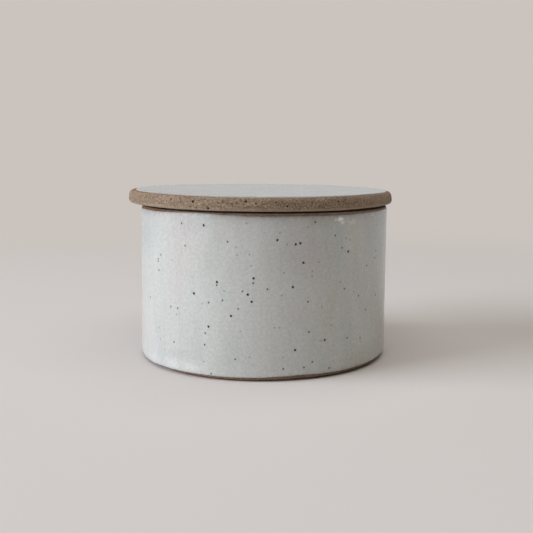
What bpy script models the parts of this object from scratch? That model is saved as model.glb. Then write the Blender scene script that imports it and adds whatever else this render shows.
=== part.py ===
"""A stoneware butter keeper: a straight crock, a flat slab lid, and the butter bell under the lid.

The crock holds a little water. Butter is packed in the bell, which hangs mouth down from the
lid, so that its lip dips in the water and keeps the air out. Metres, +Z up. The origin is the
middle of the crock's flat underside, where it stands on the table.
"""

import math

import bmesh
import bpy
from mathutils import Matrix, Vector

# The crock
CROCK_HEIGHT = 0.0650  # table to the top of the rim
RIM_RADIUS = 0.0528  # outside of the glazed wall under the rim
FOOT_RADIUS = 0.0533  # outside of the glazed wall over the foot, so the wall leans in a little
RIM_WALL = 0.0046  # clay wall at the rim, without its glaze
FOOT_WALL = 0.0054  # clay wall where it meets the floor
FLOOR = 0.0055  # clay floor
COVE = 0.0080  # inner corner between wall and floor
RIM_ROUNDING = 0.0012  # both edges of the rim, left bare so that the lid can be fired on it
FOOT_BEVEL_IN = 0.0007  # how far the bare foot is cut in under the wall
FOOT_BEVEL_UP = 0.0009  # how high that cut goes

# The glaze
GLAZE = 0.00035  # thickness of the glass coat on the clay
GLAZE_ROLL = 0.85 * GLAZE  # rounding of the coat's edge, where the molten glass drew back
RIM_BARE = 0.00025  # bare clay between the rim's rounding and the glaze
FOOT_BARE = 0.0009  # bare clay between the foot's bevel and the glaze

# The lid
LID_OVERHANG = 0.0036  # how far the lid stands out past the crock's wall, all round
LID_THICKNESS = 0.0056  # rolled slab, with the glaze on its top
LID_EDGE_LEVEL = 0.0018  # height of the edge's widest line over the underside
LID_EDGE_CURVE = 0.0080  # radius of the bowed edge, top to bottom
LID_TOP_ROUNDING = 0.0018  # upper corner of the edge
LID_LOWER_ROUNDING = 0.0011  # lower corner of the edge
LID_TOP_BARE = 0.0001  # bare clay on top between the edge's rounding and the glaze
LID_SEAT_BARE = 0.0020  # bare clay on the underside, from above the crock's inner wall inward
LID_OFF_CENTRE = -0.0011  # along X, as the lid was put down on the crock

# The butter bell
BELL_GAP = 0.0063  # from the bell to the crock's wall when the lid is centred
BELL_WALL = 0.0044
BELL_LIP = 0.0015  # rounding of both edges of the lip
WATER_DEPTH = 0.0110  # from the crock's floor to the bell's lip
LUTING = 0.0025  # radius of the clay pressed in the corner between bell and lid
LUTING_EDGE = 0.0005  # thickness of that clay where it runs out on the lid

# Fit and facets
SEAT = 0.0003  # gap between a piece and what carries it
SIDES = 72  # facets round each piece
ARC_STEP = math.radians(20)  # facets along a rounded corner
EDGE_TOLERANCE = 0.00001  # faces this close to the glaze's edge count as its edge

CROCK_INNER_RIM = RIM_RADIUS - RIM_WALL - 2 * GLAZE  # inside of the glazed wall at the rim
BELL_RADIUS = CROCK_INNER_RIM - BELL_GAP


def clear_scene():
    for item in list(bpy.data.objects):
        bpy.data.objects.remove(item, do_unlink=True)


def stoneware(name, colour, roughness):
    """A glaze or a bare clay, from its linear colour and its roughness."""
    material = bpy.data.materials.new(name)
    material.use_nodes = True
    shader = material.node_tree.nodes["Principled BSDF"]
    shader.inputs["Base Color"].default_value = (*colour, 1.0)
    shader.inputs["Roughness"].default_value = roughness
    shader.inputs["Metallic"].default_value = 0.0
    material.diffuse_color = (*colour, 1.0)
    return material


def arc(centre, arm, sweep):
    """Points of an arc that starts at centre + arm and turns through sweep."""
    steps = max(1, math.ceil(abs(sweep) / ARC_STEP))
    turns = [Matrix.Rotation(sweep * step / steps, 2) for step in range(steps + 1)]
    return [centre + turn @ arm for turn in turns]


def rounded(corners):
    """Outline points of corners (radius, height, rounding), each rounding a tangent arc."""
    points = []
    for index, (radius, height, rounding) in enumerate(corners):
        corner = Vector((radius, height))
        if rounding == 0:
            points.append(corner)
            continue
        before = (Vector(corners[index - 1][:2]) - corner).normalized()
        after = (Vector(corners[(index + 1) % len(corners)][:2]) - corner).normalized()
        half_angle = before.angle(after) / 2
        start = corner + before * rounding / math.tan(half_angle)
        centre = corner + (before + after).normalized() * rounding / math.sin(half_angle)
        turn = before.angle_signed(after)
        points += arc(centre, start - centre, math.copysign(math.pi - abs(turn), turn))
    return points


def bowed_edge(widest, level, curve, top, lower_rounding, upper_rounding):
    """A slab's edge from its underside to its top: a bowed side between two rounded corners."""
    bow = Vector((widest - curve, level))

    def corner_centre(height, rounding):
        across = math.sqrt((curve - rounding) ** 2 - (height - level) ** 2)
        return bow + Vector((across, height - level))

    lower = corner_centre(lower_rounding, lower_rounding)
    upper = corner_centre(top - upper_rounding, upper_rounding)
    lower_turn = math.atan2(lower.y - bow.y, lower.x - bow.x)
    upper_turn = math.atan2(upper.y - bow.y, upper.x - bow.x)
    down = Vector((0.0, -lower_rounding))
    side = curve * Vector((math.cos(lower_turn), math.sin(lower_turn)))
    shoulder = upper_rounding * Vector((math.cos(upper_turn), math.sin(upper_turn)))
    return (
        arc(lower, down, math.pi / 2 + lower_turn)
        + arc(bow, side, -lower_turn)[1:]
        + arc(bow, Vector((curve, 0.0)), upper_turn)[1:]
        + arc(upper, shoulder, math.pi / 2 - upper_turn)[1:]
    )


def turned(name, outline, is_glazed, glaze, clay):
    """A piece turned from an outline in the XZ plane, bare where is_glazed says so."""
    mesh = bmesh.new()
    ring = [mesh.verts.new((point.x, 0.0, point.y)) for point in outline]
    pairs = list(zip(ring, ring[1:]))
    if outline[0].x > 0:
        pairs.append((ring[-1], ring[0]))
    edges = [mesh.edges.new(pair) for pair in pairs]
    bmesh.ops.spin(
        mesh,
        geom=ring + edges,
        cent=(0, 0, 0),
        axis=(0, 0, 1),
        angle=math.tau,
        steps=SIDES,
        use_merge=True,
    )
    bmesh.ops.remove_doubles(mesh, verts=mesh.verts, dist=1e-7)
    bmesh.ops.recalc_face_normals(mesh, faces=mesh.faces)
    for face in mesh.faces:
        middle = face.calc_center_median()
        face.material_index = 0 if is_glazed(middle.xy.length, middle.z) else 1
    data = bpy.data.meshes.new(name)
    mesh.to_mesh(data)
    mesh.free()
    data.materials.append(glaze)
    data.materials.append(clay)
    data.shade_smooth()
    data.set_sharp_from_angle(angle=math.radians(35))
    piece = bpy.data.objects.new(name, data)
    bpy.context.scene.collection.objects.link(piece)
    return piece


def make_crock():
    """The crock, from the middle of its underside, up the wall and down to its floor."""
    rim_clay = RIM_RADIUS - GLAZE
    foot_clay = FOOT_RADIUS - GLAZE
    glaze_foot = FOOT_BEVEL_UP + FOOT_BARE
    glaze_rim = CROCK_HEIGHT - RIM_ROUNDING - RIM_BARE
    inner_foot = foot_clay - FOOT_WALL - GLAZE
    outline = rounded(
        [
            (0.0, 0.0, 0),
            (foot_clay - FOOT_BEVEL_IN, 0.0, 0),
            (foot_clay, FOOT_BEVEL_UP, 0),
            (foot_clay, glaze_foot, 0),
            (FOOT_RADIUS, glaze_foot, GLAZE_ROLL),
            (RIM_RADIUS, glaze_rim, GLAZE_ROLL),
            (rim_clay, glaze_rim, 0),
            (rim_clay, CROCK_HEIGHT, RIM_ROUNDING),
            (rim_clay - RIM_WALL, CROCK_HEIGHT, RIM_ROUNDING),
            (rim_clay - RIM_WALL, glaze_rim, 0),
            (CROCK_INNER_RIM, glaze_rim, GLAZE_ROLL),
            (inner_foot, FLOOR + GLAZE, COVE),
            (0.0, FLOOR + GLAZE, 0),
        ]
    )

    def is_glazed(radius, height):
        return glaze_foot - EDGE_TOLERANCE < height < glaze_rim + EDGE_TOLERANCE

    glaze = stoneware("crock_glaze", (0.55, 0.56, 0.54), 0.28)
    clay = stoneware("crock_clay", (0.17, 0.125, 0.085), 0.9)
    return turned("crock", outline, is_glazed, glaze, clay)


def make_lid():
    """The slab lid, from the middle of its underside, round its edge and to its glazed top."""
    clay_top = LID_THICKNESS - GLAZE
    edge = bowed_edge(
        RIM_RADIUS + LID_OVERHANG,
        LID_EDGE_LEVEL,
        LID_EDGE_CURVE,
        clay_top,
        LID_LOWER_ROUNDING,
        LID_TOP_ROUNDING,
    )
    glaze_edge = edge[-1].x - LID_TOP_BARE
    seat_inside = CROCK_INNER_RIM - LID_SEAT_BARE
    underside = rounded([(0.0, 0.0, 0), (seat_inside, 0.0, 0)])
    top_glaze = rounded(
        [
            (glaze_edge, clay_top, 0),
            (glaze_edge, LID_THICKNESS, GLAZE_ROLL),
            (0.0, LID_THICKNESS, 0),
        ]
    )
    outline = underside + edge + top_glaze

    def is_glazed(radius, height):
        on_top = radius < glaze_edge + EDGE_TOLERANCE and height > clay_top
        return on_top or (radius < seat_inside and height < clay_top)

    glaze = stoneware("lid_glaze", (0.50, 0.50, 0.48), 0.28)
    clay = stoneware("lid_clay", (0.19, 0.14, 0.095), 0.9)
    lid = turned("lid_slab", outline, is_glazed, glaze, clay)
    lid.location = (LID_OFF_CENTRE, 0.0, CROCK_HEIGHT + SEAT)
    return lid


def make_bell(lid):
    """The bell, an open ring that the lid closes at the top, luted on with a fillet of clay."""
    inside = BELL_RADIUS - BELL_WALL
    lip = FLOOR + GLAZE + WATER_DEPTH - CROCK_HEIGHT
    outline = rounded(
        [
            (BELL_RADIUS + LUTING, 0.0, 0),
            (inside - LUTING, 0.0, 0),
            (inside - LUTING, -LUTING_EDGE, 0),
            (inside, -LUTING_EDGE, LUTING),
            (inside, lip, BELL_LIP),
            (BELL_RADIUS, lip, BELL_LIP),
            (BELL_RADIUS, -LUTING_EDGE, LUTING),
            (BELL_RADIUS + LUTING, -LUTING_EDGE, 0),
        ]
    )

    def is_glazed(radius, height):
        return height < -EDGE_TOLERANCE

    glaze = stoneware("bell_glaze", (0.55, 0.56, 0.54), 0.28)
    clay = stoneware("bell_clay", (0.17, 0.125, 0.085), 0.9)
    bell = turned("butter_bell", outline, is_glazed, glaze, clay)
    bell.parent = lid
    bell.location = (0.0, 0.0, -SEAT)
    return bell


clear_scene()
make_crock()
make_bell(make_lid())
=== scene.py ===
# %% [markdown]
# # A stoneware butter keeper
#
# The keeper is a straight pot of speckled stoneware, the crock, under a flat slab lid. A bell for
# the butter hangs from the lid into the crock, with its mouth down. Water in the crock closes the
# bell's mouth, so that no air reaches the butter.
#
# Every piece is turned about an upright axis and dressed in two finishes: bare clay, and a pale
# glaze that stops short of the edges. So one Geometry Nodes tree turns all the pieces from their
# outlines, and two node materials finish them. Lengths are in millimetres until a mesh is made.

import math

import bpy
import numpy as np
from mathutils import Matrix, Vector


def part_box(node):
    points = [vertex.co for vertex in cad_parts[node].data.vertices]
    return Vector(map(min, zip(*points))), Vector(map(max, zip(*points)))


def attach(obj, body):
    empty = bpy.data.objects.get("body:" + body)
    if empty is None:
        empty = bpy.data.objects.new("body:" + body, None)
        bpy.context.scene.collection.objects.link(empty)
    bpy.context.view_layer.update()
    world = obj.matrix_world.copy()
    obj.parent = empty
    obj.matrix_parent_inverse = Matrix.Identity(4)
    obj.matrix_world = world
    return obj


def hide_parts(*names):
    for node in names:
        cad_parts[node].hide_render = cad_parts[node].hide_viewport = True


MM = 0.001

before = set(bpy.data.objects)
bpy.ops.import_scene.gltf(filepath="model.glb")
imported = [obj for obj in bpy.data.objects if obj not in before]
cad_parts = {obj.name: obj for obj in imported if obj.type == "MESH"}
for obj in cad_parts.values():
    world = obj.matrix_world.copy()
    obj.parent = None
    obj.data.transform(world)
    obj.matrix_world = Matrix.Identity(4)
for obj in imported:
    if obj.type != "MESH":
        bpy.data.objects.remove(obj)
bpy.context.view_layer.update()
for node in sorted(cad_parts):
    low, high = ([round(v / MM, 2) for v in corner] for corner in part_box(node))
    print(node, "from", low, "to", high, "mm")

# %% [markdown]
# ## The camera
#
# The photograph was taken from a little above the lid. The outlines of the lid, the rim and the
# foot in the picture give the distance, the height and the lens, because a round foot seen from
# further away is a flatter ellipse. The camera comes first here, since some marks on the pot are
# placed through it.

# %% Set up the camera
PHOTO_SIDE = 533
FOCAL_PIXELS = 827.0
SENSOR = 36.0
CAMERA_PLACE = Vector((1.5, -360.0, 88.6))
CAMERA_PITCH = math.radians(8.16)

camera_data = bpy.data.cameras.new("camera")
camera_data.sensor_width = SENSOR
camera_data.lens = SENSOR * FOCAL_PIXELS / PHOTO_SIDE
camera = bpy.data.objects.new("camera", camera_data)
camera.location = CAMERA_PLACE * MM
camera.rotation_euler = (math.pi / 2 - CAMERA_PITCH, 0.0, 0.0)
bpy.context.scene.collection.objects.link(camera)
bpy.context.scene.camera = camera
bpy.context.scene.view_settings.view_transform = "Standard"
print("lens", round(camera_data.lens, 2), "mm")

# %% [markdown]
# ## Small helpers for node trees
#
# The Geometry Nodes trees and the materials are written as calls that add one node each, and as
# sums and products of what the nodes give. An input is given in order or by its name, as a number
# or as the output of another node. That keeps a tree as short to read as its formula.

# %% Helpers that add nodes


class Link:
    """A node's first output, or the named one. Sums and products of links add nodes for them."""

    tree = None  # the tree that is being built

    def __init__(self, node, name=None):
        shown = [out for out in node.outputs if out.enabled and name in (None, out.name)]
        self.node, self.socket = node, shown[0] if shown else None

    def __getitem__(self, name):
        return Link(self.node, name)

    def __add__(self, other):
        return maths("ADD", self, other)

    def __sub__(self, other):
        return maths("SUBTRACT", self, other)

    def __rsub__(self, other):
        return maths("SUBTRACT", other, self)

    def __mul__(self, other):
        return maths("MULTIPLY", self, other)

    def __truediv__(self, other):
        return maths("DIVIDE", self, other)

    def __rtruediv__(self, other):
        return maths("DIVIDE", other, self)


def add(kind, inputs=(), **settings):
    """Adds a node to the tree, sets it up, and fills its inputs with values or links."""
    node = Link.tree.nodes.new(kind)
    for name, value in settings.items():
        setattr(node, name, value)
    shown = [socket for socket in node.inputs if socket.enabled]
    given = inputs if isinstance(inputs, dict) else dict(enumerate(inputs))
    for key, value in given.items():
        socket = shown[key] if isinstance(key, int) else next(s for s in shown if s.name == key)
        if isinstance(value, Link):
            Link.tree.links.new(value.socket, socket)
        else:
            socket.default_value = value
    return Link(node)


def maths(operation, *values, **settings):
    return add("ShaderNodeMath", values, operation=operation, **settings)


def vectors(operation, *values):
    return add("ShaderNodeVectorMath", values, operation=operation)


def xyz(*parts):
    return add("ShaderNodeCombineXYZ", parts)


def parts_of(vector):
    return add("ShaderNodeSeparateXYZ", [vector])


def ramp(value, start, end, low=0.0, high=1.0):
    """The value eased from low at start to high at end, and held outside them."""
    inputs = [value, start, end, low, high]
    return add("ShaderNodeMapRange", inputs, interpolation_type="SMOOTHSTEP")


SEEDS_APART = 1000.0  # how far apart two seeds are in the noise's fourth direction, in mm


def noise(place, size, detail=0.0, seed=None):
    """Soft noise from 0 to 1 whose patches are about as wide as size."""
    inputs = {"Vector": place, "Scale": 1.0 / size, "Detail": detail}
    if seed is None:
        return add("ShaderNodeTexNoise", inputs)
    inputs["W"] = seed * SEEDS_APART
    return add("ShaderNodeTexNoise", inputs, noise_dimensions="4D")


def signed(value):
    """Noise around one half, turned into about -1 to 1."""
    return value * 3.0 - 1.5


def position():
    return add("GeometryNodeInputPosition")


def named(name, kind="FLOAT"):
    return add("GeometryNodeInputNamedAttribute", {"Name": name}, data_type=kind)


def store(geometry, name, value):
    inputs = {"Geometry": geometry, "Name": name, "Value": value}
    return add("GeometryNodeStoreNamedAttribute", inputs, data_type="FLOAT", domain="POINT")


def sample(geometry, value, index, kind="FLOAT"):
    inputs = {"Geometry": geometry, "Value": value, "Index": index}
    return add("GeometryNodeSampleIndex", inputs, data_type=kind)


def set_position(geometry, **where):
    """Moves points to a Position or by an Offset."""
    return add("GeometryNodeSetPosition", {"Geometry": geometry, **where})


# %% Helpers that build and run Geometry Nodes trees


def new_tree(name, inputs):
    """Starts a tree with a geometry and inputs, each with its usual value or its kind's name."""
    tree = Link.tree = bpy.data.node_groups.new(name, "GeometryNodeTree")
    tree.interface.new_socket("Geometry", in_out="OUTPUT", socket_type="NodeSocketGeometry")
    kinds = {int: "Int", float: "Float", tuple: "Vector"}
    for label, usual in {"Geometry": "Geometry", **inputs}.items():
        kind = kinds.get(type(usual), usual)
        socket = tree.interface.new_socket(label, in_out="INPUT", socket_type=f"NodeSocket{kind}")
        if kind != usual:
            socket.default_value = usual
    return tree, Link(tree.nodes.new("NodeGroupInput"))


def end_tree(geometry, finish):
    """Closes a tree: instances become real faces, and all faces take the finish."""
    smooth = add("GeometryNodeSetShadeSmooth", {"Geometry": geometry, "Shade Smooth": True})
    real = add("GeometryNodeRealizeInstances", [smooth])
    add("NodeGroupOutput", [add("GeometryNodeSetMaterial", {"Geometry": real, "Material": finish})])
    print("the tree", Link.tree.name, "has", len(Link.tree.nodes), "nodes")


def vertices(piece):
    """The places of a piece's vertices in mm, one row each."""
    places = np.empty(3 * len(piece.data.vertices), np.float32)
    piece.data.vertices.foreach_get("co", places)
    return places.reshape(-1, 3).astype(float) / MM


def put_vertices(piece, places):
    piece.data.vertices.foreach_set("co", (places * MM).astype(np.float32).ravel())
    piece.data.update()


def run_tree(name, start, tree, **settings):
    """Runs a tree on a starting object, its inputs set by name, and keeps a plain mesh."""
    if not start.users_collection:
        bpy.context.scene.collection.objects.link(start)
    modifier = start.modifiers.new(name, "NODES")
    modifier.node_group = tree
    given = {key.replace("_", " ").title(): value for key, value in settings.items()}
    for item in tree.interface.items_tree:
        if item.in_out == "INPUT" and item.name != "Geometry":
            modifier[item.identifier] = given.get(item.name, item.default_value)
    graph = bpy.context.evaluated_depsgraph_get()
    mesh = bpy.data.meshes.new_from_object(start.evaluated_get(graph), depsgraph=graph)
    start.modifiers.remove(modifier)
    bpy.data.objects.remove(start)
    mesh.name = name
    piece = bpy.data.objects.new(name, mesh)
    bpy.context.scene.collection.objects.link(piece)
    mesh.calc_loop_triangles()
    size = np.ptp(vertices(piece), axis=0).round(2).tolist()
    print(name, "has", len(mesh.loop_triangles), "triangles and is", size, "mm")
    return piece


# %% [markdown]
# ## Outlines
#
# A potter's profile gauge is a plate cut to one half of the pot's section. An outline here is the
# same: corner points, each with a rounding, joined by straight runs and arcs. The runs are cut into
# short steps, so that the turned mesh has enough vertices for fine relief.
#
# Each point also carries four marks, which the turning tree and the materials read. "waver" says
# how far the point follows the uneven line where the glaze stops, "swell" how much the glaze is
# thicker there, "relief" how much fine relief it gets, and "tone" how far the colour turns to that
# of the glaze's thin edge, or of the clay beside it.

# %% Build outlines
ARC_STEP = math.radians(11)


def along(start, end, step):
    """The start and points on the way to the end, no further apart than a step."""
    steps = max(1, math.ceil((end - start).length / step))
    return [start.lerp(end, share / steps) for share in range(steps)]


def arc(centre, radius, start, end, step=math.inf):
    """Points of an arc about a centre, from one angle to another, no further apart than a step."""
    sweep = abs(end - start)
    steps = max(2, math.ceil(sweep / ARC_STEP), math.ceil(sweep * radius / step))
    turns = [start + (end - start) * share / steps for share in range(steps + 1)]
    return [centre + radius * Vector((math.cos(turn), math.sin(turn))) for turn in turns]


def corner_points(before, corner, after, rounding):
    """The corner itself, or the arc that rounds it."""
    if rounding == 0:
        return [corner]
    back = (before - corner).normalized()
    on = (after - corner).normalized()
    half = back.angle(on) / 2
    centre = corner + (back + on).normalized() * rounding / math.sin(half)
    first = corner + back * rounding / math.tan(half) - centre
    last = corner + on * rounding / math.tan(half) - centre
    start = math.atan2(first.y, first.x)
    sweep = math.remainder(math.atan2(last.y, last.x) - start, math.tau)
    return arc(centre, rounding, start, start + sweep)


def contour(*corners, closed=False):
    """Outline points from corners (radius, height, rounding, longest step to the next)."""
    places = [Vector(corner[:2]) for corner in corners]
    neighbours = zip(places[-1:] + places, places, places[1:] + places[:1], corners)
    rounded = [corner_points(*three, corner[2]) for *three, corner in neighbours]
    points = []
    for corner, here, then in zip(corners, rounded, rounded[1:] + rounded[: int(closed)]):
        points += here[:-1] + along(here[-1], then[0], corner[3])
    return points + (points[:1] if closed else rounded[-1])


def ease(value, start, end):
    """0 at start and 1 at end, eased between them, for a number or an array."""
    share = np.clip((value - start) / (end - start), 0, 1)
    return share * share * (3 - 2 * share)


def outline_object(points, marks):
    """A chain of vertices in the XZ plane that carries the marks as attributes."""
    mesh = bpy.data.meshes.new("outline")
    links = [(i, i + 1) for i in range(len(points) - 1)]
    mesh.from_pydata([(point.x, 0.0, point.y) for point in points], links, [])
    radius, height = np.array(points).T
    given = marks(radius, height)
    waver = mesh.attributes.new("waver", "FLOAT_VECTOR", "POINT")
    out, up = (np.broadcast_to(part, radius.shape) for part in given.get("waver", (0.0, 0.0)))
    waver.data.foreach_set("vector", np.stack([out, 0 * out, up], 1).ravel())
    for name in ("swell", "relief", "tone"):
        layer = mesh.attributes.new(name, "FLOAT", "POINT")
        layer.data.foreach_set("value", np.broadcast_to(given.get(name, 0.0), radius.shape) + 0.0)
    return bpy.data.objects.new("outline", mesh)


# %% [markdown]
# ## Turning on the wheel
#
# The Spin and Screw modifiers also turn an outline round an axis. A Geometry Nodes tree does it
# here, because a handmade pot isn't quite round, and the glaze line wavers, and both follow rules
# that use the angle round the pot.
#
# The tree makes a grid with one column for each angle and one row for each outline point, and bends
# it round the axis. Noise that is read at points of a circle joins up with itself after a full
# turn, so there is no step at the seam. Merging by distance closes the seam and the poles. The tree
# works in millimetres, and its last step makes metres of them.

# %% The turning tree
TURNING_INPUTS = {
    "Sides": 540,
    "Uneven": 0.0,
    "Uneven Size": 50.0,
    "Waver": 0.0,
    "Waver Size": 12.0,
    "Swell": 0.0,
    "Swell Size": 30.0,
    "Relief": 0.0,
    "Relief Size": 4.0,
    "Relief Stretch": 1.0,
    "Relief Detail": 0.0,
    "Place": (0.0, 0.0, 0.0),
    "Seed": 1.0,
    "Finish": "Material",
}
MERGE_DISTANCE = 0.001
NOISE_CIRCLE = 50.0  # radius of the circle that the noise is read on
SWELL_CHANGE = 0.35
STEADY_MIDDLE = 20.0  # radius inside which the piece grows steady and round towards its axis


def turning_tree():
    tree, given = new_tree("turned on the wheel", TURNING_INPUTS)
    outline = given["Geometry"]
    count = add("GeometryNodeAttributeDomainSize", [outline])
    columns = add("FunctionNodeIntegerMath", [given["Sides"], 1], operation="ADD")
    grid = add("GeometryNodeMeshGrid", {"Vertices X": columns, "Vertices Y": count})
    index = add("GeometryNodeInputIndex")
    row = maths("FLOORED_MODULO", index, count)
    turn = maths("FLOOR", index / count) * math.tau / given["Sides"]
    outward = xyz(maths("COSINE", turn), maths("SINE", turn), 0.0)

    def mark(name, kind="FLOAT"):
        return sample(outline, named(name, kind), row, kind)

    drawn = parts_of(sample(outline, position(), row, "FLOAT_VECTOR"))
    upright = xyz(0.0, 0.0, drawn["Z"])
    ring_place = vectors("ADD", vectors("SCALE", outward, NOISE_CIRCLE), upright)

    def unevenness(size, seed_step, detail=0.0):
        return signed(noise(ring_place, given[size], detail, given["Seed"] + seed_step))

    out_of_round = unevenness("Uneven Size", 0.0) * given["Uneven"]
    thicker = (unevenness("Swell Size", 7.0) * SWELL_CHANGE + 1.0) * mark("swell") * given["Swell"]
    wander = unevenness("Waver Size", 3.0, 2.0) * given["Waver"]
    waver = parts_of(vectors("SCALE", mark("waver", "FLOAT_VECTOR"), wander))
    off_axis = ramp(drawn["X"], 0.0, STEADY_MIDDLE)
    radius = drawn["X"] + (out_of_round + thicker) * off_axis + waver["X"]
    lifted = xyz(0.0, 0.0, drawn["Z"] + waver["Z"])
    place = vectors("ADD", vectors("SCALE", outward, radius), lifted)

    kept = store(store(grid, "relief", mark("relief")), "tone", mark("tone"))
    bent = set_position(kept, Position=place)
    joined = add("GeometryNodeMergeByDistance", {"Geometry": bent, "Distance": MERGE_DISTANCE})

    stretch = given["Relief Stretch"]
    stretched = vectors("DIVIDE", position(), xyz(stretch, stretch, 1.0))
    fine = noise(stretched, given["Relief Size"], given["Relief Detail"], given["Seed"] + 11.0)
    depth = signed(fine) * given["Relief"] * named("relief")
    push = vectors("SCALE", add("GeometryNodeInputNormal"), depth)
    moved = set_position(joined, Offset=vectors("ADD", push, given["Place"]))
    end_tree(add("GeometryNodeTransform", {"Geometry": moved, "Scale": (MM,) * 3}), given["Finish"])
    return tree


TURNING = turning_tree()


def turn(name, points, marks, finish, **settings):
    """Turns a piece from its outline; settings change the tree's inputs by name."""
    return run_tree(name, outline_object(points, marks), TURNING, finish=finish, **settings)


# %% [markdown]
# Some things on this pot follow the angle in a way that no noise gives: the glaze line drops on one
# side, and a dab of glaze stands out. These are measured off the photograph as short lists of
# degrees round the pot, 0 at the front and growing to the right, and a rule then moves the turned
# mesh's vertices.

# %% Move a turned piece's vertices by a rule


def degrees_round(places):
    return np.degrees(np.arctan2(places[:, 0], -places[:, 1]))


def reshape(piece, rule):
    """Moves every vertex by a rule that turns degrees round, radius and height into two steps."""
    places = vertices(piece)
    radius = np.hypot(places[:, 0], places[:, 1])
    out, up = rule(degrees_round(places), radius, places[:, 2])
    places[:, :2] *= (1 + out / np.maximum(radius, 1e-6))[:, None]
    places[:, 2] += up
    put_vertices(piece, places)


def retone(piece, rule):
    """Multiplies the tone of every vertex by a rule of degrees round and height."""
    places = vertices(piece)
    tone = np.empty(len(places), np.float32)
    layer = piece.data.attributes["tone"].data
    layer.foreach_get("value", tone)
    layer.foreach_set("value", tone * rule(degrees_round(places), places[:, 2]).astype(np.float32))


def by_angle(around, table):
    """A value for each angle, straight between the rows (degrees round, value) of a table."""
    return np.interp(around, *zip(*table), period=360)

# %% [markdown]
# ## Bare clay
#
# The clay is stoneware with sand and some iron in it, fired grey brown. It shows on the lid's edge,
# the rim and the foot, where the potter wiped the glaze off so that the pieces don't melt together
# in the kiln. It could be one brown with a bump, but then the sand wouldn't show. So grains of
# several sizes get their own tones: noise for the sand, and cells for single dark and pale grains.
# The lines that the wiping left run round the piece, so their noise is stretched along the rings.
#
# Beside the glaze the clay is redder. The outline's "tone" mark says where. The same mark also
# paints shade and light: darker clay on the ledge under the lid and at the foot's lowest edge is
# painted shade, and paler clay on the rim band and the lid's lower corner is painted light.

# %% The clay's colours and its material
CLAY = (0.226, 0.161, 0.108)
CLAY_DARK = (0.092, 0.062, 0.038)
CLAY_PALE = (0.400, 0.318, 0.236)
CLAY_FLASHED_AND_SHADE = (0.135, 0.076, 0.044)
CLAY_IRON_AND_SHADE = (0.030, 0.018, 0.012)
PALE_GRAINS = (1.1, 0.32, 0.45)  # spacing and radius in mm, share of the places that have one
IRON_GRAINS = ((1.3, 0.26, 0.40), (2.4, 0.36, 0.40))


def new_material(name):
    """Starts a material; gives it, its shader, and the place on the object in mm."""
    material = bpy.data.materials.new(name)
    material.use_nodes = True
    Link.tree = material.node_tree
    place = vectors("SCALE", add("ShaderNodeTexCoord")["Object"], 1 / MM)
    return material, Link.tree.nodes["Principled BSDF"], place


def feed(shader, **links):
    """Links values into a shader's inputs."""
    for name, value in links.items():
        Link.tree.links.new(value.socket, shader.inputs[name.replace("_", " ")])


def blend(share, first, second):
    """One colour turned into another; colours are given as three numbers or a link."""
    pair = [(*c, 1.0) if isinstance(c, tuple) else c for c in (first, second)]
    return add("ShaderNodeMix", [share, *pair], data_type="RGBA")


def mark_of(name):
    return add("ShaderNodeAttribute", attribute_name=name)["Fac"]


def share_of(value, most):
    """A share from 0 to 1 that grows with the value by a factor."""
    return maths("MULTIPLY", value, most, use_clamp=True)


def bump(height, strength, distance):
    inputs = {"Strength": strength, "Distance": distance * MM, "Height": height}
    return add("ShaderNodeBump", inputs)


def stretch(place, round_piece, upward):
    """Coordinates whose patterns are longer round the piece, or up it, by these factors."""
    return vectors("MULTIPLY", place, (1 / round_piece, 1 / round_piece, 1 / upward))


def single_grains(place, spacing, radius, share):
    """1 in a few round grains that lie about one spacing apart, 0 between them."""
    cells = add("ShaderNodeTexVoronoi", {"Vector": place, "Scale": 1 / spacing})
    colour = add("ShaderNodeSeparateColor", [cells["Color"]])
    chosen = maths("LESS_THAN", colour["Red"], share)
    width = ramp(colour["Green"], 0.0, 1.0, 0.5 * radius / spacing, radius / spacing)
    return ramp(1.0 - cells["Distance"] / width, 0.0, 0.5) * chosen


def clay_material(name):
    material, shader, place = new_material(name)
    sand = noise(stretch(place, 1.3, 1.0), 0.50, 1.0)
    clumps = noise(stretch(place, 2.2, 1.0), 1.6, 1.0)
    patches = noise(place, 9.0, 2.0)
    wiped = noise(stretch(place, 12.0, 1.0), 0.55, 1.0)
    value = sand * 2.3 - 0.775 + wiped * 0.55 + clumps * 0.35 + patches * 0.35
    colour = blend(ramp(value, 0.35, 1.0), CLAY_DARK, CLAY)
    colour = blend(ramp(value, 1.0, 1.75), colour, CLAY_PALE)
    pale = single_grains(place, *PALE_GRAINS)
    colour = blend(pale * 0.85, colour, CLAY_PALE)
    for grains in IRON_GRAINS:
        colour = blend(single_grains(place, *grains) * 0.8, colour, CLAY_IRON_AND_SHADE)
    # A positive tone turns the clay redder and darker, a negative one paler. Beside the glaze this
    # is the clay's own colour; on the ledge, the rim band, the foot's lowest edge and the lid's
    # lower corner it is painted shade and light.
    tone = mark_of("tone")
    colour = blend(share_of(tone, 0.85), colour, CLAY_FLASHED_AND_SHADE)
    colour = blend(share_of(tone, -0.5), colour, CLAY_PALE)
    # Tone over 1.2 is painted shade on the ledge under the lid. It turns the clay to the darkest
    # colour, and so do the pits' hollows.
    ledge_painted_shade = tone - 1.2
    colour = blend(share_of(maths("MAXIMUM", mark_of("pit"), ledge_painted_shade), 1.5), colour, CLAY_IRON_AND_SHADE)
    relief = bump(sand + wiped * 0.5 + pale * 0.35, 0.9, 0.16)
    feed(shader, Base_Color=colour, Roughness=ramp(sand, 0.3, 0.7, 0.95, 0.82), Normal=relief)
    shader.inputs["Specular IOR Level"].default_value = 0.3
    print(name, "has", len(Link.tree.nodes), "nodes")
    return material


BARE_CLAY = clay_material("bare_clay")
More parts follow.
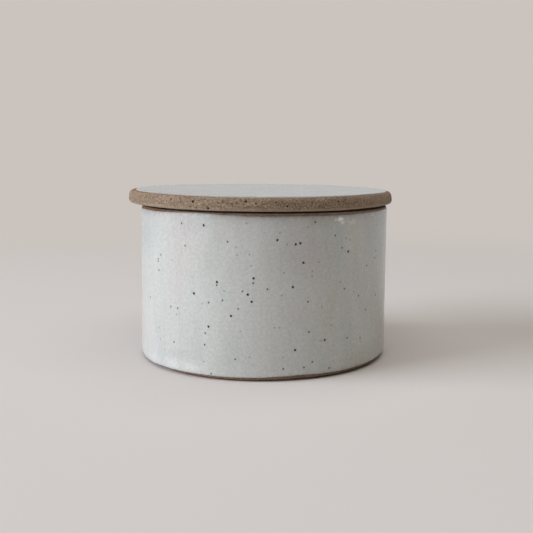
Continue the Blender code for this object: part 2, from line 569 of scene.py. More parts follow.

# %% [markdown]
# ## Glaze
#
# The glaze is a pale, half opaque glass coat, a third of a millimetre thick. It is cool and whitish
# where it is thick, turns faintly pink or green in wide soft patches, and goes thin and brown where
# it ends. It ran a little in the fire, so its patches are longer up and down than round the pot.
#
# A pale colour with a gloss would look like plastic. What makes it a glaze are the soft patches, a
# fine mottle, faint specks of iron under the surface, and a gloss that isn't the same all over.
# Some of the tints are painted light and shade: the lid's shadow, shade at the lower right and
# glints.

# %% The glaze's colours, and where it is paler or darker, partly as painted light and shade
GLAZE_BODY = (0.492, 0.496, 0.470)
GLAZE_WARM = (0.500, 0.482, 0.458)
GLAZE_GREEN = (0.468, 0.480, 0.450)
GLAZE_THIN_AND_SHADE = (0.200, 0.130, 0.086)
SPECK_IRON = (0.018, 0.012, 0.011)
# Soft tints on the glaze. Some are painted light and shade: the two at -66 and -74 degrees are
# painted shadow of the lid, the two at 78 and 47 degrees are painted shade at the lower right, and
# the pale ones at -56, -43 and -31 degrees with the darker band at -38 are a painted highlight over
# the foot. The others tint the glaze in soft patches.
TINTS_AND_PAINTED_LIGHT = [
    # degrees round, height, half width and half height in mm, tint
    (-66, 63.4, 20, 3.4, (0.82, 0.82, 0.83)),
    (-74, 55, 27, 16, (0.86, 0.86, 0.865)),
    (-58, 14, 19, 22, (1.0, 0.99, 1.0)),
    (16, 50, 24, 17, (0.92, 0.91, 0.92)),
    (78, 12, 25, 25, (0.82, 0.79, 0.73)),
    (47, 4, 20, 10, (0.94, 0.91, 0.86)),
    (-22, 30, 17, 20, (1.06, 1.06, 1.07)),
    (-47, 48, 13, 28, (0.995, 1.04, 1.02)),
    (-29, 48, 10, 20, (1.05, 1.035, 1.03)),
    (-20, 18, 9, 14, (1.05, 1.04, 1.04)),
    (-56, 3.4, 9, 3.6, (1.08, 1.08, 1.10)),
    (-43, 4.0, 8, 2.8, (1.15, 1.14, 1.17)),
    (-31, 3.9, 8, 2.2, (1.14, 1.14, 1.16)),
    (-38, 8.4, 11, 2.6, (0.925, 0.94, 0.925)),
    (24, 61.2, 9, 3.4, (0.94, 0.90, 0.87)),
    (-13, 58, 11, 7, (1.02, 0.97, 0.96)),
    (42, 54, 9, 14, (1.07, 1.04, 1.01)),
    (30, 26, 5, 26, (1.02, 0.99, 0.97)),
    (128, 44, 16, 20, (1.05, 1.05, 1.06)),
    (152, 14, 20, 16, (0.92, 0.90, 0.86)),
    (-170, 50, 18, 12, (0.94, 0.94, 0.94)),
    (-146, 26, 14, 22, (1.05, 1.04, 1.03)),
    (-112, 12, 18, 12, (0.95, 0.94, 0.92)),
    (-100, 46, 12, 16, (1.04, 1.05, 1.06)),
]
DABS_WITH_PAINTED_GLINTS = [
    # the same for raised dabs near the rim, whose pale tints are painted glints, and how far they
    # stand out in mm
    (34.0, 61.7, 2.9, 1.6, (2.0, 1.92, 1.82), 0.26),
    (35.4, 60.3, 1.5, 1.2, (1.4, 1.36, 1.32), 0.12),
    (41.0, 60.4, 2.8, 1.4, (1.28, 1.26, 1.23), 0.14),
    (37.8, 61.4, 1.5, 0.9, (1.25, 1.23, 1.20), 0.10),
    (58.0, 61.0, 1.6, 1.4, (1.2, 1.2, 1.2), 0.10),
    (-34.5, 63.2, 2.0, 0.6, (1.3, 1.3, 1.3), 0.03),
    (-29.0, 63.1, 2.0, 0.6, (1.3, 1.3, 1.3), 0.03),
    (-23.0, 63.1, 2.2, 0.5, (1.3, 1.3, 1.3), 0.03),
]
GLAZE_DUST = (2.1, 0.22, 0.45)  # spacing and radius in mm, share of the places that have one
TINT_RADIUS = 53.0  # how far from the axis the middles of the tints lie, in mm


# %% The glaze's material


def with_tint(place, colour, around, height, half_width, half_height, tint):
    """The colour under one soft tint, which is strongest in its middle."""
    turn = math.radians(around)
    middle = Vector((TINT_RADIUS * math.sin(turn), -TINT_RADIUS * math.cos(turn), height))
    size = (half_width, half_width, half_height)
    apart = vectors("DIVIDE", vectors("SUBTRACT", place, middle), size)
    share = ramp(vectors("LENGTH", apart), 1.0, 0.0)
    return blend(share, colour, vectors("MULTIPLY", colour, tint))


def with_tints_and_painted_light(place, colour):
    """The colour under soft tints, partly painted light and shade, and under the dabs' painted
    glints with their ragged edges.
    """
    for tint_row in TINTS_AND_PAINTED_LIGHT:
        colour = with_tint(place, colour, *tint_row)
    ragged = vectors("MULTIPLY_ADD", noise(place, 1.1, 1.0)["Color"], (3.0,) * 3, (-1.5,) * 3)
    ragged = vectors("ADD", place, ragged)
    for *glint_dab, _ in DABS_WITH_PAINTED_GLINTS:
        colour = with_tint(ragged, colour, *glint_dab)
    return colour


def glaze_colour(place):
    """The glaze's colour at every place, for the coats and for the specks' edges."""
    wide = noise(stretch(place, 1.0, 2.5), 24.0, 2.0)
    colour = blend(ramp(wide, 0.48, 0.70), GLAZE_BODY, GLAZE_WARM)
    colour = blend(ramp(wide, 0.52, 0.32), colour, GLAZE_GREEN)
    runs = noise(stretch(place, 1.0, 5.0), 4.0, 2.0)
    mottle = noise(place, 1.0, 3.0)
    value = mottle * 0.42 + (runs * 0.15 + 0.715)
    return vectors("SCALE", with_tints_and_painted_light(place, colour), value)


def glaze_material(name, speck=False, tint=(1.0, 1.0, 1.0), ripple=0.03):
    material, shader, place = new_material(name)
    colour = vectors("MULTIPLY", glaze_colour(place), tint)
    colour = blend(single_grains(place, *GLAZE_DUST) * 0.35, colour, SPECK_IRON)
    # The thin edge's brown; near the rim it also carries painted shade and painted glints, by
    # angle.
    thin = mark_of("tone")
    colour = blend(maths("POWER", thin, 1.5) * 0.50, colour, GLAZE_THIN_AND_SHADE)
    edge = noise(place, 0.9, 2.0) * 0.2 + (thin - 0.1)
    colour = blend(ramp(edge, 0.88, 1.02), colour, GLAZE_THIN_AND_SHADE)
    if speck:
        blot = noise(place, 0.5, 1.0) * 0.5 - 0.25
        depth = ramp(mark_of("iron") + blot, 0.12, 0.62) * mark_of("strength")
        colour = blend(depth, colour, SPECK_IRON)
    dry = ramp(noise(place, 1.8, 1.0), 0.42, 0.56) * thin
    dull = dry * 0.4 + ramp(noise(place, 9.0, 2.0), 0.3, 0.7, 0.15, 0.24)
    ripples = bump(noise(place, 3.0, 1.0), 0.5, ripple)
    feed(shader, Base_Color=colour, Roughness=dull, Normal=ripples)
    shader.inputs["IOR"].default_value = 1.5
    print(name, "has", len(Link.tree.nodes), "nodes")
    return material


# The lid's glaze is tinted darker and cooler than the wall's, as painted shade on its top, which
# faces the light.
LID_PAINTED_SHADE_AND_RIPPLE = {"tint": (0.848, 0.866, 0.884), "ripple": 0.01}
GLAZE = glaze_material("speckled_glaze")
LID_GLAZE = glaze_material("lid_glaze", **LID_PAINTED_SHADE_AND_RIPPLE)
SPECK = glaze_material("iron_speck", speck=True)
LID_SPECK = glaze_material("lid_iron_speck", speck=True, **LID_PAINTED_SHADE_AND_RIPPLE)

# %% [markdown]
# ## The crock's clay
#
# The crock is thrown as a straight cylinder with a flat base. Its clay shows only on the rim and
# on a narrow band over the table, which is cut in below so that no glaze sticks to the kiln shelf.
# The solid in the frame has the same section. The mesh here repeats it with finer rounding, wiping
# lines on the bare places and a wall that is a little out of round, and it stands for the solid.
#
# The photograph shows a black gap under the lid, a little over half a millimetre high, and a bare
# brown band under it. So the rim has a low ledge outside, and the lid rests on what stands inside
# of it. The bare band at the foot is widest in front and runs out on the left.

# %% Sizes of the crock, and its clay
CROCK_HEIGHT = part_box("crock")[1].z / MM
FOOT_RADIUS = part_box("crock")[1].x / MM
RIM_RADIUS = 52.8
COAT = 0.35
FOOT_LINE = 1.8
RIM_LINE = CROCK_HEIGHT - 1.45
CLAY_AT_FOOT = FOOT_RADIUS - COAT
CLAY_AT_RIM = RIM_RADIUS - COAT
INSIDE_AT_RIM = CLAY_AT_RIM - 4.6
INSIDE_AT_FOOT = CLAY_AT_FOOT - 5.4
FLOOR = 5.5
COVE = 8.0
CROCK_SHAPE = {"uneven": 0.12, "uneven_size": 45.0, "seed": 4.0}

FOOT_LINES = [
    # degrees round, height of the glaze line over the table in mm
    (-115, 0.8), (-72, 0.7), (-60, 0.95), (-50, 1.25), (-38, 1.4), (-28, 1.47), (-14, 1.37),
    (0, 1.6), (15, 2.15), (24, 1.9), (35, 1.75), (48, 1.98), (57, 2.15), (65, 2.5), (72, 2.8),
    (85, 2.9), (120, 1.9), (180, 1.4),
]  # fmt: skip
FOOT_TUCKS = [
    # degrees round, how far the foot's lowest edge is tucked in, and from how high up, in mm
    (-150, 0.6, 2.0), (-110, 2.2, 3.2), (-74, 2.5, 3.2), (-60, 2.6, 3.2), (-50, 2.0, 3.0),
    (-42, 1.3, 2.6), (-30, 0.8, 2.0), (-14, 0.2, 1.4), (3, 0.5, 2.2), (15, 0.9, 3.0),
    (30, 1.3, 3.4), (45, 1.6, 4.2), (62, 1.8, 4.8), (85, 1.8, 4.8), (110, 1.5, 4.0),
    (150, 0.7, 2.4),
]  # fmt: skip


def follow_foot_line(around, radius, height):
    """Presses the foot and the glaze's lower edge down to the line that the angle asks for."""
    outer = radius > 45
    line = by_angle(around, FOOT_LINES)
    below = height * (line / FOOT_LINE - 1)
    above = (line - FOOT_LINE) * ease(height, 5, FOOT_LINE)
    up = np.where(height < FOOT_LINE, below, above) * outer
    tuck, start = (by_angle(around, [(row[0], row[i]) for row in FOOT_TUCKS]) for i in (1, 2))
    under = np.clip(1 - (height + up) / start, 0, 1)
    return (np.sqrt(1 - under**2) - 1) * tuck * outer, up


def crock_marks(radius, height):
    at_rim = ease(height, RIM_LINE - 1, RIM_LINE)
    at_foot = ease(height, 3.0, 2.5)
    ledge = ease(height, CROCK_HEIGHT - 0.66, CROCK_HEIGHT - 0.5)
    return {
        "relief": ease(height, 0.2, 0.8) * (at_foot + at_rim),
        # The tone's 1.2 on the ledge is painted shade under the lid, and its -0.45 on the rim band
        # is painted light. At the foot 0.25 is the redder clay beside the glaze, and the rest,
        # which grows towards the lowest edge, is painted shade next to the table.
        "tone": 1.2 * ledge - 0.45 * at_rim + at_foot * (0.25 + 0.75 * ease(height, 1.1, 0.6)),
    }


crock_clay = turn(
    "crock_clay",
    contour(
        (0, 0, 0, 4),
        (CLAY_AT_FOOT - 0.7, 0, 0.3, 0.3),
        (CLAY_AT_FOOT, 0.9, 0.5, 0.3),
        (CLAY_AT_FOOT, FOOT_LINE + 0.8, 0, 20),
        (CLAY_AT_RIM, RIM_LINE - 0.8, 0, 0.25),
        (CLAY_AT_RIM, CROCK_HEIGHT - 0.62, 0.28, 0.3),
        (CLAY_AT_RIM - 2.0, CROCK_HEIGHT - 0.38, 1, 0.3),
        (CLAY_AT_RIM - 2.9, CROCK_HEIGHT, 0.8, 0.3),
        (INSIDE_AT_RIM, CROCK_HEIGHT, 1, 0.26),
        (INSIDE_AT_RIM, RIM_LINE - 0.8, 0, 20),
        (INSIDE_AT_FOOT, FLOOR, COVE, 8),
        (0, FLOOR, 0, 4),
    ),
    crock_marks,
    BARE_CLAY,
    sides=900,
    relief=0.03,
    relief_size=0.6,
    relief_stretch=4.0,
    relief_detail=2.0,
    **CROCK_SHAPE,
)
reshape(crock_clay, follow_foot_line)
# degrees round, share of the painted shade under the lid
LEDGE_PAINTED_SHADE = [(-130, 0.0), (-100, 1.0), (-52, 1.0), (-43, 0.5), (-36, 0.3), (-15, 0.1), (0, 0.0)]


def paint_shade_under_lid(around, height):
    """Painted shade of the lid: darker clay on the ledge and under it at the left."""
    painted_shade = by_angle(around, LEDGE_PAINTED_SHADE)
    on_ledge = ease(height, CROCK_HEIGHT - 0.7, CROCK_HEIGHT - 0.6)
    return 1 + painted_shade * (1.7 * on_ledge - 2.8 * (1 - on_ledge) * (height > RIM_LINE - 1))


retone(crock_clay, paint_shade_under_lid)

# %% [markdown]
# ## The glaze outside the crock
#
# The coat is a mesh of its own, because the photograph shows its edge: a rounded lip of glass that
# wavers along the rim and the foot. It sits on the clay and sinks a tenth of a millimetre into it,
# so that no gap shows at the edge. Towards the foot the glaze gathered as it ran down, and swells.
#
# The lines where it stops are read off the photograph, at some angles round the pot. The dabs
# near the rim stand out from the wall, and their pale tints are painted glints.

# %% The outer coat
SUNK = 0.1
EDGE_ROLL = 0.28
EDGE_TAPER = 0.6
RIM_LINES = [
    # degrees round, how far the glaze line stands over its mean height in mm
    (-110, 0.1), (-75, 0.0), (-60, 0.22), (-48, 0.08), (-42, 0.22), (-36, 0.5), (-30, 0.66),
    (-24, 0.5), (-18, 0.18), (-13, 0.25), (-7, 0.0), (28, 0.0), (42, -0.02), (52, 0.15), (64, 0.25),
    (76, 0.38), (120, 0.1), (180, -0.1),
]  # fmt: skip
THIN_EDGE_AND_PAINTED_SHADE = [
    # degrees round, what the brown of the glaze's thin edge at the rim is multiplied by. Over 1,
    # at the left, it is painted shade under the lid; from -38 to -20 degrees it is kept low, so
    # that the paler edge stands for painted glints
    (-180, 0.8), (-120, 0.8), (-90, 1.2), (-56, 1.2), (-47, 0.85), (-38, 0.32), (-28, 0.20),
    (-20, 0.5), (-8, 1.0), (30, 0.8), (60, 0.5), (110, 0.8),
]  # fmt: skip
FLARES = [
    # degrees round, how far the gathered glaze stands out over the foot in mm
    (-110, 0.2), (-75, 0.1), (-58, 0.45), (-28, 0.5), (-10, 0.2), (20, 0.1), (50, 0.0),
    (110, -0.05), (180, 0.1),
]  # fmt: skip


def oval(radius, height, inward, down, steps=8):
    """Points of a quarter of an oval, from an upright wall in to its top."""
    turns = [math.pi / 2 * step / steps for step in range(steps + 1)]
    centre = Vector((radius - inward, height - down))
    return [centre + Vector((inward * math.cos(t), down * math.sin(t))) for t in turns]


def wall_radius(height, at_foot, at_rim):
    """Radius of the leaning wall at a height."""
    return at_foot + (at_rim - at_foot) * (height - FOOT_LINE) / (RIM_LINE - FOOT_LINE)


def near_rim(height):
    return ease(height, RIM_LINE - 3, RIM_LINE - 0.4)


def outside_marks(radius, height):
    to_foot = ease(height, FOOT_LINE + 4, FOOT_LINE + 0.4)
    gathered = np.exp(-(height - FOOT_LINE) / 2.6)
    clay = wall_radius(height, CLAY_AT_FOOT, CLAY_AT_RIM)
    outer = ease(radius, clay - SUNK, clay + 0.8 * COAT)
    up_to_rim = np.clip(1 - (RIM_LINE - height) / 2.4, 0, 1)
    down_to_foot = np.clip(1 - (height - FOOT_LINE) / 0.9, 0, 1)
    on_wall = ease(height, RIM_LINE + 0.1, RIM_LINE - 1) * ease(height, FOOT_LINE, FOOT_LINE + 1)
    return {
        "waver": (0.0, near_rim(height) + 0.6 * to_foot),
        "swell": gathered * outer,
        "relief": outer * on_wall,
        "tone": up_to_rim**1.5 + down_to_foot**1.5,
    }


def run_and_drip(around, radius, height):
    """Moves the glaze's upper edge to its line, and raises the dabs that carry painted glints."""
    out = by_angle(around, FLARES) * np.clip(1 - height / 4.5, 0, 1) ** 2
    out = out * ease(radius, FOOT_RADIUS - 1.3, FOOT_RADIUS - 0.4)
    for at, level, half_width, half_height, _, rise in DABS_WITH_PAINTED_GLINTS:
        across = np.radians(around - at) * RIM_RADIUS / half_width
        apart = across**2 + ((height - level) / half_height) ** 2
        out = out + rise * np.clip(1 - apart, 0, 1) ** 2 * (radius > RIM_RADIUS - 0.2)
    return out, by_angle(around, RIM_LINES) * near_rim(height)


coat = contour(
    (CLAY_AT_FOOT - SUNK, FOOT_LINE, 0, 0.3),
    (FOOT_RADIUS, FOOT_LINE, EDGE_ROLL, 0.55),
    (RIM_RADIUS, RIM_LINE - EDGE_TAPER, 0, 1),
)
coat += oval(RIM_RADIUS, RIM_LINE, COAT + SUNK, EDGE_TAPER)[1:]
crock_glaze = turn(
    "crock_glaze_outside",
    coat + coat[:1],
    outside_marks,
    GLAZE,
    sides=600,
    waver=0.14,
    waver_size=11.0,
    swell=0.10,
    relief=0.012,
    relief_size=9.0,
    relief_detail=1.0,
    **CROCK_SHAPE,
)
reshape(crock_glaze, follow_foot_line)
reshape(crock_glaze, run_and_drip)
retone(crock_glaze, lambda around, height: np.where(height > 30, by_angle(around, THIN_EDGE_AND_PAINTED_SHADE), 1.0))

# %% [markdown]
# ## The glaze inside the crock
#
# The inner coat runs from the rim down the wall, round the cove and over the floor. It is seen
# once the lid is lifted.

# %% The inner coat
crock_inside = turn(
    "crock_glaze_inside",
    contour(
        (0, FLOOR - SUNK, 0, 6),
        (INSIDE_AT_FOOT + SUNK, FLOOR - SUNK, COVE + SUNK, 10),
        (INSIDE_AT_RIM + SUNK, RIM_LINE, 0, 0.3),
        (INSIDE_AT_RIM - COAT, RIM_LINE, EDGE_ROLL, 1),
        (INSIDE_AT_FOOT - COAT, FLOOR + COAT, COVE - COAT, 1),
        (0, FLOOR + COAT, 0, 1),
    ),
    lambda radius, height: {
        "waver": (0.0, near_rim(height)),
        "relief": ease(height, RIM_LINE, RIM_LINE - 1),
        "tone": ease(height, RIM_LINE - 0.9, RIM_LINE),
    },
    GLAZE,
    sides=480,
    waver=0.16,
    relief=0.02,
    relief_size=9.0,
    **CROCK_SHAPE,
)

# %% [markdown]
# ## The lid's slab
#
# The lid is cut from a rolled slab, and its bare edge is the most looked-at clay of the piece. A
# wet sponge rounded it: a bowed side, widest below the middle, between a small lower and a larger
# upper corner. The sand stands out of it, the sponge dragged fine lines round it, and here and
# there a grain fell out and left a pit. The relief needs a mesh with a vertex about every quarter
# of a millimetre, so only the edge is cut that finely, and the hidden top and underside aren't.

# %% Outline of the slab, and its clay
LID_RADIUS = 56.4
LID_TOP = 5.6
LID_CLAY_TOP = LID_TOP - COAT
BOW_LEVEL = 1.8
BOW_CURVE = 8.0
UPPER_ROUNDING = 1.8
LOWER_ROUNDING = 1.1
LID_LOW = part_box("lid_slab")[0] / MM
LID_PLACE = Vector((LID_LOW.x + LID_RADIUS, 0.0, LID_LOW.z))
FINE = 0.2


def slab_edge():
    """The slab's edge from its underside to its top: a bowed side between two rounded corners."""
    bow = Vector((LID_RADIUS - BOW_CURVE, BOW_LEVEL))

    def corner(height, rounding):
        across = math.sqrt((BOW_CURVE - rounding) ** 2 - (height - BOW_LEVEL) ** 2)
        return bow + Vector((across, height - BOW_LEVEL)), math.atan2(height - BOW_LEVEL, across)

    lower, lower_turn = corner(LOWER_ROUNDING, LOWER_ROUNDING)
    upper, upper_turn = corner(LID_CLAY_TOP - UPPER_ROUNDING, UPPER_ROUNDING)
    return (
        arc(lower, LOWER_ROUNDING, -math.pi / 2, lower_turn)
        + arc(bow, BOW_CURVE, lower_turn, upper_turn, FINE)[1:]
        + arc(upper, UPPER_ROUNDING, upper_turn, math.pi / 2)[1:]
    )


EDGE = slab_edge()
ABOVE = Vector((0.0, LID_CLAY_TOP))
TOP_LINE = EDGE[-1].x - 1.0

lid_slab = turn(
    "lid_clay",
    along(Vector((0.0, 0.0)), EDGE[0], 5) + EDGE[:-1] + along(EDGE[-1], ABOVE, 9) + [ABOVE],
    lambda radius, height: {
        "relief": ease(radius, 49, 50),
        # The tone makes the clay redder by the glaze at the top, and paler on the downward-facing
        # lower corner, which is painted light.
        "tone": 0.35 * ease(height, LID_CLAY_TOP - 0.35, LID_CLAY_TOP) - ease(height, 1.3, 0.5),
    },
    BARE_CLAY,
    sides=1440,
    uneven=0.10,
    uneven_size=50.0,
    relief=0.05,
    relief_size=0.5,
    relief_stretch=3.0,
    relief_detail=2.0,
    place=LID_PLACE,
    seed=21.0,
)
LOWER_CORNERS = [
    # degrees round, how far the slab's lower corner lies over its underside in mm
    (-110, 0.0), (-70, 0.15), (-50, 0.1), (-38, 0.0), (32, 0.0), (42, 0.18), (52, 0.33), (75, 0.4),
    (110, 0.25), (160, 0.0),
]  # fmt: skip


def lift_lower_corner(around, radius, height):
    """Raises the lower corner where the slab was pressed, and nothing above the middle."""
    near = ease(radius, 51.5, 54.5) * ease(height, LID_PLACE.z + 3.4, LID_PLACE.z + 0.4)
    return 0 * radius, by_angle(around, LOWER_CORNERS) * near


reshape(lid_slab, lift_lower_corner)

# %% [markdown]
# ## Pits in the lid's edge
#
# The pits are real hollows, so that their lips catch the light. Modelling each by hand would take
# long and look alike, and a bump map would stay flat in the outline. A Geometry Nodes tree pushes
# each vertex in by its distance to the nearest pit. The pits that the photograph shows are put
# where its picture has them, by a ray from the camera to the edge. The tree scatters the rest over
# the side that the photograph doesn't show, with a fixed seed.

# %% Find a picture place on the pot


def meet_wall(pixel, middle, radius):
    """Where the camera's ray through a pixel of the photograph first meets an upright cylinder."""
    across, down = ((pixel[i] + 0.5 - PHOTO_SIDE / 2) / FOCAL_PIXELS for i in (0, 1))
    turn_down = Matrix.Rotation(math.pi / 2 - CAMERA_PITCH, 3, "X")
    way = (turn_down @ Vector((across, -down, -1.0))).normalized()
    flat_start = CAMERA_PLACE.xy - middle
    a = way.xy.dot(way.xy)
    b = flat_start.dot(way.xy)
    c = flat_start.dot(flat_start) - radius**2
    return CAMERA_PLACE + way * (-b - math.sqrt(max(b * b - a * c, 0.0))) / a


def marked_points(places, **layers):
    """Loose vertices at places in mm, with a number for each in every named layer."""
    mesh = bpy.data.meshes.new("marks")
    mesh.from_pydata([place * MM for place in places], [], [])
    for name, values in layers.items():
        mesh.attributes.new(name, "FLOAT", "POINT").data.foreach_set("value", values)
    return bpy.data.objects.new("marks", mesh)


# %% Press the pits into the edge
PITS_IN_PHOTO = [
    # across and down in the photograph, radius in mm
    (170.3, 199.2, 0.52), (192.3, 201.5, 0.60), (207.6, 208.4, 0.66), (196.1, 207.8, 0.40),
    (245.4, 200.9, 0.72), (222.0, 201.3, 0.42), (275.9, 201.5, 0.42), (287.0, 205.7, 0.52),
    (255.5, 203.0, 0.38), (338.0, 200.5, 0.46), (335.2, 209.5, 0.42), (298.5, 209.0, 0.30),
]  # fmt: skip
SCATTER_INPUTS = {
    "Density": 9000.0,
    "Smallest": 0.0,
    "Largest": 0.0,
    "Hidden Side": -1.0,
    "Seed": 1,
    "Finish": "Material",
}
LIP_RISE = 0.08  # how high the clay round a pit stands, as a share of the pit's radius


def above(value, level):
    return add("FunctionNodeCompare", [value, level], operation="GREATER_THAN")


def both_kinds(given, placed, surface, power, mark=None):
    """The placed points and random ones on the far side, whose sizes are mostly small."""
    behind = above(parts_of(position())["Y"], given["Hidden Side"])
    chosen = above(named("relief"), 0.5)
    both = add("FunctionNodeBooleanMath", [behind, chosen], operation="AND")
    where = {"Mesh": surface, "Selection": both, "Density": given["Density"], "Seed": given["Seed"]}
    random = add("GeometryNodeDistributePointsOnFaces", where)
    share = add("FunctionNodeRandomValue", {"Seed": given["Seed"]}, data_type="FLOAT")
    share = maths("POWER", share, power)
    size = add("ShaderNodeMapRange", [share, 0.0, 1.0, given["Smallest"], given["Largest"]])
    random = store(random, "size", size)
    if mark:
        random = store(random, *mark)
    joined = add("GeometryNodeJoinGeometry")
    for points in (add("GeometryNodeMeshToPoints", [placed]), random):
        Link.tree.links.new(points.socket, joined.node.inputs[0])
    return joined


def pit_tree():
    inputs = {"Pits": "Object", "Depth": 0.8, **SCATTER_INPUTS}
    tree, given = new_tree("pits in clay", inputs)
    surface = given["Geometry"]
    placed = add("GeometryNodeObjectInfo", [given["Pits"]])["Geometry"]
    pits = both_kinds(given, placed, surface, 2.0)
    near = add("GeometryNodeProximity", {"Geometry": pits}, target_element="POINTS")
    nearest = add("GeometryNodeSampleNearest", {"Geometry": pits}, domain="POINT")
    size = sample(pits, named("size"), nearest)
    share = near["Distance"] / size
    hollow = ramp(share, 1.0, 0.25)
    lip = ramp(maths("ABSOLUTE", share - 1.15), 0.35, 0.0)
    push = size * LIP_RISE * lip - size * given["Depth"] * hollow
    push = vectors("SCALE", add("GeometryNodeInputNormal"), push)
    end_tree(set_position(store(surface, "pit", hollow), Offset=push), given["Finish"])
    return tree


pit_places = [meet_wall(mark, LID_PLACE.xy, LID_RADIUS - 0.1) for mark in PITS_IN_PHOTO]
pits = marked_points(pit_places, size=[mark[2] * MM for mark in PITS_IN_PHOTO])
bpy.context.scene.collection.objects.link(pits)
lid_slab = run_tree(
    "lid_clay",
    lid_slab,
    pit_tree(),
    pits=pits,
    smallest=0.22 * MM,
    largest=0.75 * MM,
    depth=0.8,
    hidden_side=-10 * MM,
    seed=5,
    finish=BARE_CLAY,
)
bpy.data.objects.remove(pits)

# %% [markdown]
# ## The glaze on the lid
#
# On top the coat is a wide thin disc with a rounded lip. It nearly fills the slab's flat top, and
# its edge wanders in and out where the sponge wiped it. It was fired flat, so it lies smoother than
# the glaze on the walls. A second, thinner coat covers the underside up to where the lid rests.

# %% The lid's two coats
TOP_LINES = [
    # degrees round, how far the glaze goes past its mean edge in mm
    (-135, -0.2), (-90, 0.0), (-44, 0.1), (-28, 1.3), (-13, 1.7), (18, 1.85), (38, 1.6), (54, 0.5),
    (68, 1.1), (95, 0.5), (180, 0.3),
]  # fmt: skip


def near_edge(radius):
    return ease(radius, TOP_LINE - 4, TOP_LINE - 0.5)


def wrap_over_shoulder(around, radius, height):
    """Spreads the coat's edge outwards, and lets it follow the slab's rounded shoulder down."""
    out = by_angle(around, TOP_LINES) * near_edge(radius)
    past = np.clip(radius + out - EDGE[-1].x, 0, UPPER_ROUNDING)
    return out, np.sqrt(UPPER_ROUNDING**2 - past**2) - UPPER_ROUNDING


lid_glaze = turn(
    "lid_glaze_top",
    contour(
        (0, LID_CLAY_TOP - SUNK, 0, 9),
        (TOP_LINE, LID_CLAY_TOP - SUNK, 0, 0.3),
        (TOP_LINE, LID_TOP, EDGE_ROLL, 0.7),
        (0, LID_TOP, 0, 1),
    ),
    lambda radius, height: {
        "waver": (near_edge(radius), 0.0),
        "relief": ease(radius, TOP_LINE, TOP_LINE - 2) * (height > LID_CLAY_TOP),
        "tone": 0.8 * ease(radius, TOP_LINE - 0.9, TOP_LINE),
    },
    LID_GLAZE,
    sides=600,
    waver=0.10,
    waver_size=20.0,
    relief=0.004,
    relief_size=12.0,
    seed=33.0,
)
reshape(lid_glaze, wrap_over_shoulder)
lid_glaze.data.transform(Matrix.Translation(LID_PLACE * MM))

UNDER_COAT = 0.15
SEAT_LINE = 45.4
lid_under = turn(
    "lid_glaze_under",
    contour(
        (0, -UNDER_COAT, 0, 3),
        (SEAT_LINE, -UNDER_COAT, 0.12, 0.2),
        (SEAT_LINE, SUNK, 0, 9),
        (0, SUNK, 0, 9),
    ),
    lambda radius, height: {"tone": ease(radius, SEAT_LINE - 0.8, SEAT_LINE)},
    GLAZE,
    sides=360,
    place=LID_PLACE,
    seed=35.0,
)

# %% [markdown]
# ## The butter bell
#
# The bell is a thrown ring, luted to the slab with a roll of soft clay on each side, which is
# smoothed to a hollow curve. It is glazed all over, and the glaze breaks thin and brown on its lip.

# %% The bell
BELL_RADIUS = 41.2
BELL_INSIDE = BELL_RADIUS - 4.4
BELL_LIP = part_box("butter_bell")[0].z / MM - LID_PLACE.z
LUTING = 2.5
LUTING_EDGE = 0.8

butter_bell = turn(
    "butter_bell_glazed",
    contour(
        (BELL_INSIDE - LUTING, SUNK, 0, 0.4),
        (BELL_INSIDE - LUTING, -LUTING_EDGE, 0.4, 0.5),
        (BELL_INSIDE, -LUTING_EDGE, LUTING, 0.8),
        (BELL_INSIDE, BELL_LIP, 1.5, 0.5),
        (BELL_RADIUS, BELL_LIP, 1.5, 0.8),
        (BELL_RADIUS, -LUTING_EDGE, LUTING, 0.3),
        (BELL_RADIUS + LUTING, -LUTING_EDGE, 0.4, 0.4),
        (BELL_RADIUS + LUTING, SUNK, 0, 3),
        closed=True,
    ),
    lambda radius, height: {
        "relief": ease(height, -1.5, -4),
        "tone": 0.75 * ease(height, BELL_LIP + 1.3, BELL_LIP + 0.3),
    },
    GLAZE,
    sides=480,
    uneven=0.15,
    uneven_size=40.0,
    relief=0.025,
    relief_size=7.0,
    place=LID_PLACE,
    seed=41.0,
)

# %% [markdown]
# ## Iron specks
#
# Bits of iron in the clay melt through the glaze and leave dark specks with soft brown edges. They
# could be dots in the material, but then they would be flat, and a hundred exact places would need
# hundreds of nodes. Here each is a very low lens of melted iron, set in the glaze, and a Geometry
# Nodes tree puts them all down. The lens is a little wider than its dark middle, and outside that
# its material is the glaze itself, so that no edge shows.
#
# The specks on the front sit where the photograph shows them. On the rest of the pot the tree
# scatters them at about the same number to a palm's width.

